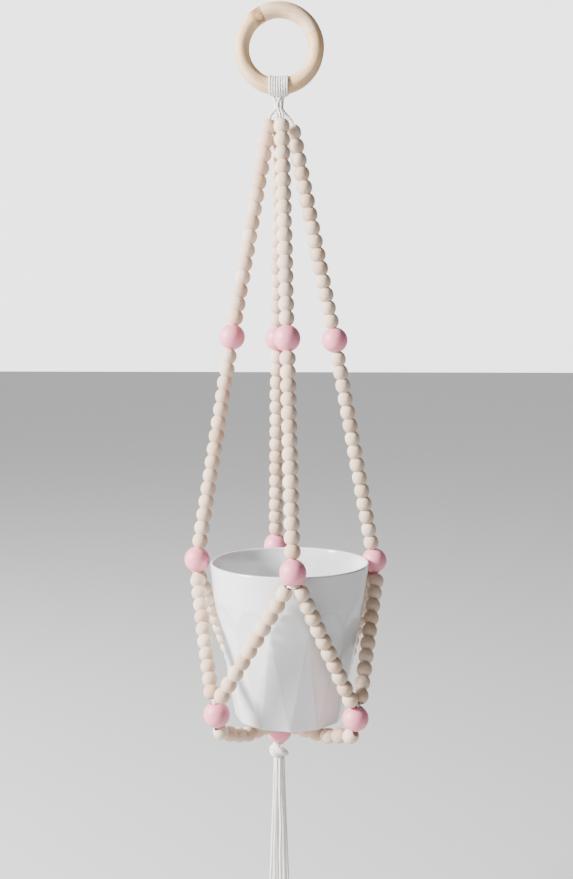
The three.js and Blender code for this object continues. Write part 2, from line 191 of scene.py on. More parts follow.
def makePiece(name, points, quads, triangles=None, attributes=None, material=None, smoothing=0):
    # One mesh with one material. An attribute has a value, or a vector, for each point.
    triangles = np.zeros((0, 3), int) if triangles is None else triangles
    mesh = bpy.data.meshes.new(name)
    mesh.from_pydata(points.tolist(), [], quads.tolist() + triangles.tolist())
    mesh.polygons.foreach_set("use_smooth", np.ones(len(mesh.polygons), bool))
    for key, values in (attributes or {}).items():
        vector = values.ndim == 2
        layer = mesh.attributes.new(key, "FLOAT_VECTOR" if vector else "FLOAT", "POINT")
        layer.data.foreach_set("vector" if vector else "value", values.astype(np.float32).ravel())
    mesh.update()
    piece = bpy.data.objects.new(name, mesh)
    bpy.context.scene.collection.objects.link(piece)
    mesh.materials.append(material)
    if smoothing:
        rounder = piece.modifiers.new("rounder", "SUBSURF")
        rounder.levels = smoothing
        rounder.render_levels = smoothing
    return piece


# ---- Materials.
def paint(red, green, blue):  # a colour as seen, from 0 to 255, as the shader wants it
    return tuple((x / 255) ** 2.2 for x in (red, green, blue)) + (1.0,)


class Term:
    # A value in a material, which can be written in sums.
    def __init__(self, nodes, socket):
        self.nodes = nodes
        self.socket = socket

    def join(self, operation, first, second):
        made = self.nodes.node("ShaderNodeMath", {"operation": operation}, {0: first, 1: second})
        return Term(self.nodes, made.outputs[0])

    def __add__(self, other):
        return self.join("ADD", self, other)

    def __sub__(self, other):
        return self.join("SUBTRACT", self, other)

    def __rsub__(self, other):
        return self.join("SUBTRACT", other, self)

    def __mul__(self, other):
        return self.join("MULTIPLY", self, other)

    __radd__ = __add__
    __rmul__ = __mul__


class Nodes:
    # The nodes of a material or of the room.
    def __init__(self, tree):
        self.tree = tree

    def feed(self, socket, value):
        if isinstance(value, Term):
            self.tree.links.new(value.socket, socket)
        elif value is not None:
            socket.default_value = value

    def node(self, kind, settings=None, inputs=None):
        made = self.tree.nodes.new(kind)
        for key, value in (settings or {}).items():
            setattr(made, key, value)
        for key, value in (inputs or {}).items():
            self.feed(made.inputs[key], value)
        return made

    def term(self, made, output=0):
        return Term(self, made.outputs[output])


class Finish(Nodes):
    # A material, with the values that are the same all over it set on its shader.
    def __init__(self, name, shader):
        self.material = bpy.data.materials.new(name)
        self.material.use_nodes = True
        super().__init__(self.material.node_tree)
        self.shader = self.tree.nodes["Principled BSDF"]
        for key, value in shader.items():
            self.shader.inputs[key].default_value = value

    def read(self, name, output):
        return self.term(self.node("ShaderNodeAttribute", {"attribute_name": name}), output)

    def place(self):
        return self.term(self.node("ShaderNodeTexCoord"), "Object")

    def stretched(self, vector, scale):
        sizes = {"Vector": vector, "Scale": scale}
        return self.term(self.node("ShaderNodeMapping", {"vector_type": "POINT"}, sizes))

    def turned(self, vector, angle):
        sizes = {"Vector": vector, "Rotation": (0, 0, angle)}
        return self.term(self.node("ShaderNodeMapping", {"vector_type": "POINT"}, sizes))

    def noise(self, vector, scale, detail=3.0, roughness=0.55):
        sizes = {"Vector": vector, "Scale": scale, "Detail": detail, "Roughness": roughness}
        return self.term(self.node("ShaderNodeTexNoise", None, sizes), "Fac")

    def between(self, value, low, high):  # 0 below low, 1 above high
        return self.term(self.node("ShaderNodeMapRange", {"clamp": True}, {0: value, 1: low, 2: high}))

    def blendColours(self, share, first, second):
        made = self.node("ShaderNodeMix", {"data_type": "RGBA"}, {0: share, 6: first, 7: second})
        return self.term(made, 2)

    def colour(self, value):
        self.feed(self.shader.inputs["Base Color"], value)

    def rough(self, value):
        self.feed(self.shader.inputs["Roughness"], value)

    def relief(self, height, distance, strength=1.0):
        sizes = {"Height": height, "Distance": distance, "Strength": strength}
        self.feed(self.shader.inputs["Normal"], self.term(self.node("ShaderNodeBump", None, sizes), "Normal"))


def rawBeadWood():
    # Each bead's own grain runs along its "grain" attribute, in millimetres, and "tone" is its shade.
    finish = Finish("rawBeadWood", {})
    grain = finish.read("grain", "Vector")
    tone = finish.read("tone", "Fac")
    streaks = finish.noise(finish.stretched(grain, (1.0, 1.0, 0.12)), 1.5, 4.0, 0.6)
    fibres = finish.noise(finish.stretched(grain, (3.0, 3.0, 0.25)), 2.2, 3.0, 0.7)
    pores = finish.between(finish.noise(finish.stretched(grain, (2.6, 2.6, 0.5)), 1.1, 2.0), 0.62, 0.72)
    shade = finish.blendColours(tone, paint(206, 176, 152), paint(234, 214, 194))
    warm = finish.blendColours(finish.between(streaks, 0.38, 0.72) * 0.55, shade, paint(206, 168, 136))
    flecked = finish.blendColours(pores * 0.35, warm, paint(176, 150, 132))
    finish.colour(flecked)
    finish.rough(0.62 + 0.25 * fibres)
    finish.relief(0.6 * fibres + 0.5 * streaks - 0.35 * pores, 0.00018, 0.7)
    return finish.material


def ringWood():
    # "grain" is (distance along the ring, across, round) in millimetres and "turn" is the angle in degrees.
    finish = Finish("ringWood", {})
    grain = finish.read("grain", "Vector")
    turn = finish.read("turn", "Fac")
    bands = finish.noise(finish.stretched(grain, (0.03, 0.5, 0.5)), 1.0, 5.0, 0.66)
    fibres = finish.noise(finish.stretched(grain, (0.08, 1.8, 1.8)), 1.3, 3.0, 0.7)
    knots = finish.noise(finish.stretched(grain, (0.12, 0.2, 0.2)), 1.0, 2.0, 0.5)
    shorterPart = finish.between(turn, 22.6, 23.0) * (1 - finish.between(turn, 116.4, 116.7))
    base = finish.blendColours(shorterPart, paint(224, 192, 152), paint(230, 203, 168))
    streaked = finish.blendColours(finish.between(bands, 0.42, 0.62) * 0.6, base, paint(194, 150, 104))
    fine = finish.blendColours(finish.between(fibres, 0.52, 0.75) * 0.45, streaked, paint(184, 146, 108))
    nearJoint = finish.between(turn, 117, 119) * (1 - finish.between(turn, 126, 137))
    patch = nearJoint * finish.between(knots, 0.4, 0.52)
    patched = finish.blendColours(patch, fine, paint(150, 108, 74))
    rosyStretch = finish.between(turn, 66, 71) * (1 - finish.between(turn, 74, 80))
    rosy = rosyStretch * finish.between(bands, 0.42, 0.6)
    spotted = finish.blendColours(rosy * 0.6, patched, paint(196, 136, 120))
    jointLine = finish.between(turn, 115.6, 116.4) * (1 - finish.between(turn, 116.8, 117.6))
    otherLine = finish.between(turn, 22.2, 22.8) * (1 - finish.between(turn, 22.9, 23.5))
    finish.colour(finish.blendColours(jointLine * 0.85 + otherLine * 0.45, spotted, paint(92, 68, 50)))
    finish.rough(0.5 + 0.25 * fibres)
    finish.relief(0.5 * bands + 0.5 * fibres - 0.8 * jointLine - 0.4 * otherLine, 0.0003, 0.8)
    return finish.material


def pinkPaint():
    # Satin paint on a turned bead, a little uneven where the wood shows through.
    finish = Finish("pinkPaint", {})
    grain = finish.read("grain", "Vector")
    tone = finish.read("tone", "Fac")
    cloud = finish.noise(grain, 0.12, 3.0)
    brushed = finish.noise(finish.stretched(grain, (1.2, 1.2, 0.3)), 1.4, 3.0, 0.6)
    body = finish.blendColours(tone, paint(236, 142, 160), paint(241, 156, 172))
    finish.colour(finish.blendColours(finish.between(cloud, 0.35, 0.7) * 0.5, body, paint(228, 132, 151)))
    finish.rough(0.36 + 0.16 * brushed)
    finish.relief(0.7 * brushed + 0.5 * cloud, 0.00014, 0.6)
    return finish.material


def cottonCord():
    # "lie" is (round the cord, along it) in millimetres, with a number for each cord. Fibres lie at a
    # slant, along the plies, and the grooves between plies are painted darker, as painted shade.
    finish = Finish("cottonCord", {"Roughness": 0.9, "Sheen Weight": 0.35, "Sheen Roughness": 0.5})
    lie = finish.read("lie", "Vector")
    groove = finish.read("groove", "Fac")
    slanted = finish.turned(lie, 0.6)
    fibres = finish.noise(finish.stretched(slanted, (6.0, 0.7, 1.0)), 1.6, 3.0, 0.65)
    cloud = finish.noise(finish.stretched(lie, (0.25, 0.12, 1.0)), 1.0, 2.0)
    body = finish.blendColours(finish.between(cloud, 0.3, 0.7), paint(246, 243, 238), paint(236, 232, 226))
    shaded = finish.blendColours(finish.between(fibres, 0.45, 0.8) * 0.35, body, paint(206, 200, 192))
    # Painted shade: the grooves between plies are blended towards a grey.
    finish.colour(finish.blendColours(groove * 0.55, shaded, paint(178, 172, 164)))
    finish.relief(fibres, 0.0002, 0.7)
    return finish.material


def whiteGlaze():
    # A glossy white glaze that pools a little and thins at the creases, over a bare foot, rough, painted
    # brown as contact shadow.
    finish = Finish("whiteGlaze", {"IOR": 1.52, "Coat Weight": 0.35, "Coat Roughness": 0.06})
    place = finish.place()
    bare = finish.read("bare", "Fac")
    cloud = finish.noise(finish.stretched(place, (1.0, 1.0, 0.6)), 22.0, 3.0)
    wave = finish.noise(place, 60.0, 2.0)
    pits = finish.between(finish.noise(place, 900.0, 1.0), 0.74, 0.8)
    body = finish.blendColours(finish.between(cloud, 0.3, 0.7), paint(222, 224, 228), paint(214, 216, 220))
    thin = finish.blendColours(finish.read("crease", "Fac") * 0.5, body, paint(196, 194, 192))
    specked = finish.blendColours(pits * 0.3, thin, paint(190, 186, 180))
    # Painted shadow: the foot ring is painted brown, as the shadow line where the pot stands, and is rough as
    # bare clay is.
    finish.colour(finish.blendColours(bare, specked, paint(176, 158, 140)))
    finish.rough(0.13 + 0.07 * cloud + 0.6 * bare)
    finish.relief(0.5 * wave + 0.2 * cloud - 0.2 * pits, 0.0004, 0.35)
    return finish.material


finishes = {make.__name__: make() for make in (rawBeadWood, ringWood, pinkPaint, cottonCord, whiteGlaze)}
print("materials made")


# ---- The camera looks from a little to the right of the front and slightly down.
view = {"azimuth": 3.13, "elevation": 5.52, "distance": 0.972, "lens": 51.0, "aim": (0.00578, 0, -0.32)}


def setCamera():
    # The place is aim + distance (sin a cos e, -cos a cos e, sin e).
    a, e = np.radians(view["azimuth"]), np.radians(view["elevation"])
    back = spot(np.sin(a) * np.cos(e), -np.cos(a) * np.cos(e), np.sin(e))
    lens = bpy.data.cameras.new("camera")
    lens.lens = view["lens"]
    lens.clip_start = 0.01
    camera = bpy.data.objects.new("camera", lens)
    camera.location = spot(*view["aim"]) + back * view["distance"]
    camera.rotation_euler = (np.pi / 2 - e, 0, a)
    bpy.context.scene.collection.objects.link(camera)
    bpy.context.scene.camera = camera


setCamera()

# ---- Where everything hangs, read off the joints.
beadSize = {"woodDiameter": 12 * mm, "woodLength": 10.5 * mm, "pinkDiameter": 20 * mm, "rest": 0.4 * mm}
cordSize = {"diameter": 1.9 * mm, "gap": 0.32 * mm, "tail": 2.2 * mm}
potAxis, _ = jointOf("pot_turn")
potFoot = cornersOf("ceramic_pot")[0][2]
potTop = cornersOf("ceramic_pot")[1][2]
potSize = {"footRadius": 42.9 * mm, "rimRadius": 62.5 * mm, "height": potTop - potFoot}
lastBead, _ = jointOf("turning_centre_bead")
ringHinge, _ = jointOf("hanger_swing")
pairStep = (cordSize["diameter"] + cordSize["gap"]) / 2
bundleRadius = pairStep / np.sin(np.pi / 8)
gatherFoot = cornersOf("larks_head_knot")[0][2]
knotLow, knotHigh = cornersOf("tassel_knot")
strandNames = ["left", "front", "right", "back"]
cornerNames = ["left_front", "front_right", "right_back", "back_left"]
beadCount = {"strand": 15, "diagonal": 10}


def straightRun(node, count):
    # A straight run of beads: its first and last bead's centres are half a pitch in from its ends.
    middle, axis = jointOf("turning_" + node)
    half = halfLength(node, middle, axis)
    pitch = 2 * half / count
    reach = half - pitch / 2
    return {"node": node, "axis": axis, "pitch": pitch, "half": pitch / 2, "count": count,
            "first": middle - axis * reach, "last": middle + axis * reach}


def hangingStrand(name):  # its rim bead, its two runs, and the way that its two cords lie apart
    rim, _ = jointOf("turning_rim_bead_" + name)
    azimuth = np.degrees(np.arctan2(rim[1], rim[0] - potAxis[0]))
    upper = straightRun("upper_beads_" + name, beadCount["strand"])
    lower = straightRun("lower_beads_" + name, beadCount["strand"])
    return {"rim": rim, "side": sideways(azimuth), "upper": upper, "lower": lower}


underRun = {"boreRadius": 3 * mm, "midway": 0.55, "sag": 0.3 * mm, "sagAtEdge": 0.2 * mm,
            "pastEdge": 1.5 * mm, "bendFrom": 3 * mm, "rise": 0.3}


def centreLineUnderPot(bead, bore, lean):
    # Level under the pot's foot, past its edge, and up into the foot of the painted bead.
    pinkRadius = beadSize["pinkDiameter"] / 2
    runEnd = np.sqrt(pinkRadius**2 - underRun["boreRadius"] ** 2) + beadSize["rest"]
    level = potFoot - beadSize["woodDiameter"] / 2 - beadSize["rest"]
    edge = potAxis[0] * lean[0] + np.sqrt(potSize["footRadius"] ** 2 - (potAxis[0] * lean[1]) ** 2)
    end = bead - bore * runEnd
    reach = np.hypot(end[0], end[1])
    risen = level + underRun["rise"] * (end[2] - level)
    stations = [(runEnd, level), (edge * underRun["midway"], level - underRun["sag"]),
                (edge + underRun["pastEdge"], level - underRun["sagAtEdge"]),
                ((edge + underRun["bendFrom"] + reach) / 2, risen)]
    points = [lean * distance + spot(0, 0, height) for distance, height in stations]
    return curveThrough(points + [end - bore * beadSize["woodLength"] / 2, end], 60)


def netCorner(name):  # its painted bead, the two diagonals down to it, and its run under the pot
    before, after = name.split("_")
    bead, bore = jointOf("turning_base_bead_" + name)
    bore = bore * np.sign(bore[2])
    lean = unit((bead - lastBead) * (1, 1, 0))
    azimuth = np.degrees(np.arctan2(bead[1], bead[0] - potAxis[0]))
    runs = {1: straightRun(f"diagonal_{before}_to_{after}", beadCount["diagonal"]),
            -1: straightRun(f"diagonal_{after}_to_{before}", beadCount["diagonal"])}
    line = alongPath(centreLineUnderPot(bead, bore, lean), 0.25 * mm)
    length = np.sum(np.linalg.norm(np.diff(line, axis=0), axis=1))
    count = int(round(length / beadSize["woodLength"]))
    return {"name": name, "bead": bead, "bore": bore, "lean": lean, "side": sideways(azimuth),
            "runs": runs, "line": line, "count": count, "pitch": length / count}


strands = [hangingStrand(name) for name in strandNames]
corners = [netCorner(name) for name in cornerNames]
print("strands and corners placed")

# ---- The cords. Each of the four is folded over the ring and both its ends run down one strand.
twist = {"plies": 3, "groove": 0.2, "lay": 9.0 * mm, "columns": 12, "step": 0.75 * mm}
neckTurn = 190  # azimuth of the left strand's two cords where they leave the knot on the ring
footTurn = 231.5  # azimuth of the left front corner's two cords in the last bead
wrapSize = {"spacing": 1.84 * mm, "radius": 7.15 * mm, "ringCurve": 28.5 * mm, "middle": 0.52,
            "bar": 67, "barStep": 15}
cordRoom = {"underKnot": 0.3 * mm, "neck": 5 * mm, "aboveRun": 3 * mm, "underRim": 0.6 * mm,
            "roundBend": 0.9 * mm, "inside": 1.5 * mm}
lastShoulder = ((2.4, 48.6), (2.25, 62.8), (1.26, 71.9))  # mm off the last bead, and degrees above level
wrapOrder = {"left": 3, "front": 1, "right": 2, "back": 0}  # 0 is the cord in the middle of the wraps


def twistedCord(path, diameter, seed):
    # A tube round the path whose radius is (1 - groove (1 - |cos(plies (a - 2 pi s / lay) / 2)|)) of its
    # full one at the angle a and the distance s, so that its plies wind round it, and that rounds off at
    # its ends as a circle does.
    path = alongPath(path, twist["step"])
    s = np.arange(len(path))[:, None] * twist["step"]
    a = np.linspace(0, 2 * np.pi, twist["columns"], endpoint=False)[None, :]
    valley = 1 - np.abs(np.cos(twist["plies"] * (a - 2 * np.pi * s / twist["lay"] + seed) / 2))
    radius = diameter / 2 * (1 - twist["groove"] * valley**1.5)
    closeness = np.minimum(s, s[-1] - s) / (0.4 * diameter)
    radius = radius * np.sqrt(1 - np.clip(1 - closeness, 0, 0.93) ** 2)
    points, quads, tips = closedTube(path, radius, a, (0.3, 1, 0.2))
    return points, quads, tips, pliedSurface(valley, a * diameter / 2, s, 7 * seed)


def bundlePoint(turn, way, height):  # where one of the eight cords of the round bundle passes
    return outwards(turn + way * 22.5) * bundleRadius + spot(0, 0, height)


def wrapRoute(order, way):
    # From the middle of the bar behind the ring, up the back, over, down the front and under. An angle
    # of 0 is under the ring, 90 behind it. The ring curves up by x^2 / 2R on either side.
    x = way * (order + wrapSize["middle"]) * wrapSize["spacing"]
    bar = wrapSize["bar"] - wrapSize["barStep"] * order
    stations = [(0, bar), (0.6 * x, bar)] if order else [(0, bar)]
    stations += [(x, bar + 12)] + [(x, angle) for angle in range(90, 340, 20)]
    stations += [(0.93 * x, 340), (0.8 * x, 353)]
    across = np.array([place[0] for place in stations])
    angles = np.radians([place[1] for place in stations])
    lift = across**2 / 2 / wrapSize["ringCurve"]
    reach = wrapSize["radius"]
    places = np.stack([across, np.sin(angles) * reach, lift - np.cos(angles) * reach], 1)
    return [ringHinge + place for place in places]


def endRoute(index, way):
    # From the knot on the ring down a strand, along a diagonal, under the pot and into the last bead.
    s = strands[index]
    c = corners[index if way > 0 else (index + 3) % 4]
    run = c["runs"][1 if way > 0 else -1]
    half = s["upper"]["half"]
    pinkRadius = beadSize["pinkDiameter"] / 2

    def beside(point):
        return point + s["side"] * way * pairStep

    def inCorner(point):
        return point - c["side"] * way * pairStep

    strandTurn, cornerTurn = neckTurn + 90 * index, footTurn + 90 * corners.index(c)
    drops = (cordRoom["underKnot"], cordRoom["neck"])
    route = [bundlePoint(strandTurn, way, gatherFoot - down) for down in drops]
    route += [beside(s["upper"]["first"] - s["upper"]["axis"] * (half + cordRoom["aboveRun"])),
              beside(s["upper"]["first"] - s["upper"]["axis"] * half),
              beside(s["upper"]["last"] + s["upper"]["axis"] * half),
              beside(s["lower"]["first"] - s["lower"]["axis"] * half),
              beside(s["rim"]),
              beside(s["rim"] + s["lower"]["axis"] * (pinkRadius + cordRoom["underRim"])),
              run["first"] - run["axis"] * (run["half"] + cordRoom["roundBend"]),
              run["last"] + run["axis"] * (run["half"] + cordRoom["roundBend"])]
    overBead = pinkRadius + cordSize["diameter"] / 2 + beadSize["rest"]
    route += [inCorner(c["bead"] + unit(c["bore"] + (0, 0, 1)) * overBead),
              inCorner(c["bead"] + c["bore"] * (pinkRadius + cordRoom["roundBend"]))]
    picks = np.linspace(len(c["line"]) - 1, 0, c["count"] + 1).round().astype(int)
    route += [inCorner(c["line"][i]) for i in picks]
    for off, degrees in lastShoulder:
        reach, rise = pinkRadius + off * mm, np.radians(degrees)
        height = lastBead[2] + reach * np.sin(rise)
        route.append(inCorner(c["lean"] * reach * np.cos(rise) + spot(0, 0, height)))
    tops = (lastBead[2] + pinkRadius, knotHigh[2])
    return route + [bundlePoint(cornerTurn, -way, height - cordRoom["inside"]) for height in tops]


longStep = 18 * mm  # the longest step between two places that a cord's curve passes


def straightenedCurve(points):
    # Smooth through every point, but straight on a span much longer than its neighbours, so that it
    # stays in the bores of a run of beads.
    points = np.asarray(points, float)
    dense = [points[:1]]
    for before, after in zip(points[:-1], points[1:]):
        pieces = max(1, int(np.linalg.norm(after - before) // longStep))
        shares = np.linspace(0, 1, pieces + 1)[1:, None]
        dense.append(before + (after - before) * shares)
    return curveThrough(np.vstack(dense), 12)


def makeCords():
    # One cord is the way of its left end, backwards, over the ring, and on down the way of its right end.
    for index, name in enumerate(strandNames):
        left = wrapRoute(wrapOrder[name], -1) + endRoute(index, 1)
        right = wrapRoute(wrapOrder[name], 1) + endRoute(index, -1)
        line = straightenedCurve(left[::-1] + right[1:])
        points, quads, tips, own = twistedCord(line, cordSize["diameter"], index + 1)
        piece = makePiece(f"cotton_cord_{name}", points, quads, tips, own, finishes["cottonCord"])
        nodes = [f"cord_{name}_a", f"cord_{name}_b"] + (["larks_head_knot"] if index == 0 else [])
        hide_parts(*nodes)
        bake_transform(piece)
        length = np.sum(np.linalg.norm(np.diff(line, axis=0), axis=1))
        print(f"{name} cord: {length:.3f} m from tail to tail, without the tassel")


makeCords()

# ---- The tassel: the eight ends of the cords, each 160 mm long, spreading a little as they hang.
tassel = {"turn": 11.25, "sway": 0.35, "seed": 5, "step": 2 * mm}
tasselSpread = [(0, 0), (8, 0.1), (22, 0.5), (38, 1.1), (56, 1.8), (76, 2.6), (98, 3.4), (120, 4), (140, 4.5),
                (160, 4.8)]  # how far down, and how far out by there


def makeTassel():
    # An end hangs at tight + spread out from the axis, swaying a little to the side. Eight ends that touch
    # stand on a circle of the radius tight = spacing / 2 / sin(pi / 8).
    top = cornersOf("tassel_cord_1")[1][2]
    tight = (cordSize["tail"] + beadSize["rest"]) / 2 / np.sin(np.pi / 8)
    dice = np.random.default_rng(tassel["seed"])
    for i in range(8):
        out = outwards(i * 45 + tassel["turn"])
        across = sideways(i * 45 + tassel["turn"])
        sway = dice.normal(0, tassel["sway"], len(tasselSpread)) * mm
        sway[:2] = 0
        route = [out * (tight + spread * mm) + across * sway[k] + spot(0, 0, top - down * mm)
                 for k, (down, spread) in enumerate(tasselSpread)]
        line = alongPath(curveThrough(route), tassel["step"])
        points, quads, tips, own = twistedCord(line, cordSize["tail"], i + 9)
        piece = makePiece(f"tassel_end_{i + 1}", points, quads, tips, own, finishes["cottonCord"])
        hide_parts(f"tassel_cord_{i + 1}")
        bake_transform(piece)
    print("eight ends of the tassel hung")


makeTassel()

# ---- The knot above the tassel: the bundle of cords in one overhand turn.
knotShape = {"radius": 2.55 * mm, "strands": 7, "groove": 0.24, "lay": 34 * mm, "columns": 42,
             "step": 0.4 * mm, "endTaper": 2.5 * mm, "endShare": 0.72}
knotRoute = [(-0.4, 0.2, 6.6), (-2.6, -1.6, 4.2), (-1.4, -4.0, 2.2), (2.4, -4.6, -0.4), (5.0, -2.2, -2.4),
             (3.9, 2.2, -3.2), (0.0, 4.6, -1.6), (-3.9, 3.2, 0.4), (-5.2, -0.6, 0.2), (-4.2, -3.4, -2.2),
             (-1.0, -3.0, -3.8), (0.4, -0.6, -5.0), (0, 0, -7.0)]


def makeKnot():
    # A bundle carried along the route, as a cord is, with a radius that falls to a share at its ends.
    middle = spot(0, 0, (knotLow[2] + knotHigh[2]) / 2)
    path = alongPath(curveThrough([middle + np.array(p) * mm for p in knotRoute]), knotShape["step"])
    s = np.arange(len(path))[:, None] * knotShape["step"]
    a = np.linspace(0, 2 * np.pi, knotShape["columns"], endpoint=False)[None, :]
    valley = 1 - np.abs(np.cos(knotShape["strands"] * (a - 2 * np.pi * s / knotShape["lay"]) / 2))
    inside = np.clip(np.minimum(s, s[-1] - s) / knotShape["endTaper"], 0, 1)
    taper = knotShape["endShare"] + (1 - knotShape["endShare"]) * inside
    radius = knotShape["radius"] * (1 - knotShape["groove"] * valley**2) * taper
    points, quads, tips = closedTube(path, radius, a, (1, 0, 0))
    own = pliedSurface(valley, a * knotShape["radius"], s, 90)
    piece = makePiece("overhand_knot", points, quads, tips, own, finishes["cottonCord"])
    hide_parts("tassel_knot")
    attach(piece, "net")
    print("knot tied")


makeKnot()

# ---- Beads. One small cage is repeated, and smoothed when it is drawn.
woodBead = {"around": 8, "smoothing": 2, "sizeSpread": 0.012,
            "outline": [(2.3, 0), (2.6, 0.93), (3.75, 0.955), (5.4, 0.56), (6, 0), (5.4, -0.56),
                        (3.75, -0.955), (2.6, -0.93)]}  # from the axis in mm, along it as a share of half
pinkBead = {"around": 12, "smoothing": 3, "sizeSpread": 0.006, "hole": 3.0,
            "angles": (66, 42, 14, -14, -42, -66)}
beadTip = 0.012  # how far a bead leans off its cord, as a slope
beadTone = {"middle": 0.55, "spread": 0.24}
grainReach = 400  # millimetres that a bead's grain may be moved by, so that no two are alike


def beadCage(outline, around):
    # The cage whose smoothed surface passes through the outline: on a closed line of points P it passes
    # through (P before + 4 P + P after) / 6, and round the axis it is (2 + cos(2 pi / n)) / 3 as wide.
    outline = np.array(outline, float)
    count = len(outline)
    smoothed = (4 * np.eye(count) + np.roll(np.eye(count), 1, 0) + np.roll(np.eye(count), -1, 0)) / 6
    cage = np.linalg.solve(smoothed, outline)
    widen = 3 / (2 + np.cos(2 * np.pi / around))
    a = np.linspace(0, 2 * np.pi, around, endpoint=False)[None, :]
    r, h = cage[:, :1] * widen, cage[:, 1:]
    points = np.stack([r * np.cos(a), r * np.sin(a), np.broadcast_to(h, (count, around))], -1).reshape(-1, 3)
    quads, _ = outwardFaces(points, gridFaces(count, around, wrapRows=True), np.zeros((0, 3), int))
    return points, quads


def axesAlong(directions):
    # For each direction w: u = w x a fixed vector, square to w, and v = w x u, square to both.
    w = directions / np.linalg.norm(directions, axis=1)[:, None]
    u = np.cross(w, (0.31, 0.95, 0.05))
    u /= np.linalg.norm(u, axis=1)[:, None]
    return u, np.cross(w, u), w


def threadedBeads(centres, directions, cage, quads, seed, spread):
    # Copies of a cage, each turned at random about its bore, a little bigger or smaller than the next:
    # a cage's point (x, y, z) goes to centre + x u + y v + z w.
    dice = np.random.default_rng(seed)
    count = len(centres)
    spin = dice.uniform(0, 2 * np.pi, count)[:, None, None]
    size = 1 + np.clip(dice.normal(0, spread, count), -2 * spread, 2 * spread)[:, None, None]
    tip = dice.normal(0, beadTip, (count, 3))
    local = cage[None] * mm
    x = (local[..., :1] * np.cos(spin) - local[..., 1:2] * np.sin(spin)) * size
    y = (local[..., :1] * np.sin(spin) + local[..., 1:2] * np.cos(spin)) * size
    u, v, w = axesAlong(directions + tip)
    points = centres[:, None] + x * u[:, None] + y * v[:, None] + local[..., 2:] * w[:, None]
    turns = np.linalg.qr(dice.normal(0, 1, (count, 3, 3)))[0]
    grain = np.einsum("nvi,nij->nvj", np.broadcast_to(cage[None], points.shape), turns)
    grain = grain + dice.uniform(-grainReach, grainReach, (count, 1, 3))
    tones = np.clip(dice.normal(beadTone["middle"], beadTone["spread"], count), 0, 1)
    tone = np.repeat(tones, len(cage))
    faces = (quads[None] + (np.arange(count) * len(cage))[:, None, None]).reshape(-1, 4)
    return points.reshape(-1, 3), faces, {"grain": grain.reshape(-1, 3), "tone": tone}


def woodenRun(body, node, centres, directions, pitch, seed):
    # The outline turned about the bore, its heights times half the pitch, so that the beads just touch.
    half = pitch / 2 / mm
    cage, quads = beadCage([(r, h * half) for r, h in woodBead["outline"]], woodBead["around"])
    points, faces, own = threadedBeads(centres, directions, cage, quads, seed, woodBead["sizeSpread"])
    wood = finishes["rawBeadWood"]
    piece = makePiece(f"{node}_turned", points, faces, None, own, wood, woodBead["smoothing"])
    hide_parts(node)
    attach(piece, body)


def makeWoodenBeads():
    # Bead i of n sits at first + (last - first) i / (n - 1), and under the pot at (i + 1/2) / n of the line.
    runs = [s[part] for s in strands for part in ("upper", "lower")]
    runs += [run for c in corners for run in c["runs"].values()]
    for seed, run in enumerate(runs):
        centres = run["first"] + (run["last"] - run["first"]) * np.linspace(0, 1, run["count"])[:, None]
        directions = np.tile(run["axis"], (run["count"], 1))
        woodenRun(run["node"] + "_body", run["node"], centres, directions, run["pitch"], 100 + seed)
    for seed, c in enumerate(corners):
        picks = ((np.arange(c["count"]) + 0.5) / c["count"] * (len(c["line"]) - 1)).round().astype(int)
        centres, directions = c["line"][picks], directionsOf(c["line"])[picks]
        woodenRun("net", "base_beads_" + c["name"], centres, directions, c["pitch"], 200 + seed)
    print("wooden beads threaded")


def makePaintedBeads():
    # The outline (R cos a, R sin a), closed by a bore that widens at its mouths, turned about the bore.
    radius, hole = beadSize["pinkDiameter"] / 2 / mm, pinkBead["hole"]
    top = np.sqrt(radius**2 - (hole + 0.5) ** 2)
    outline = [(radius * np.cos(np.radians(a)), radius * np.sin(np.radians(a))) for a in pinkBead["angles"]]
    outline += [(hole + 0.15, -top), (hole - 0.1, -top + 1.6), (hole - 0.1, top - 1.6), (hole + 0.15, top)]
    cage, quads = beadCage(outline, pinkBead["around"])
    nodes = [f"{part}_bead_{name}" for part in ("shoulder", "rim") for name in strandNames]
    nodes += [f"base_bead_{name}" for name in cornerNames] + ["centre_bead"]
    for seed, node in enumerate(nodes):
        centre, axis = jointOf("turning_" + node)
        spread = pinkBead["sizeSpread"]
        points, faces, own = threadedBeads(centre[None], axis[None], cage, quads, 300 + seed, spread)
        pink = finishes["pinkPaint"]
        piece = makePiece(f"{node}_painted", points, faces, None, own, pink, pinkBead["smoothing"])
        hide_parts(node)
        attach(piece, node + "_body")
    print("painted beads threaded")


makeWoodenBeads()
makePaintedBeads()

# ---- The ring: an oval centre line, with a section that is a little thicker at its top and foot.
ringSize = {"wide": 68.5, "tall": 69.5, "eyeWide": 45, "eyeTall": 44.5, "depth": 12, "stations": 220,
            "columns": 40}


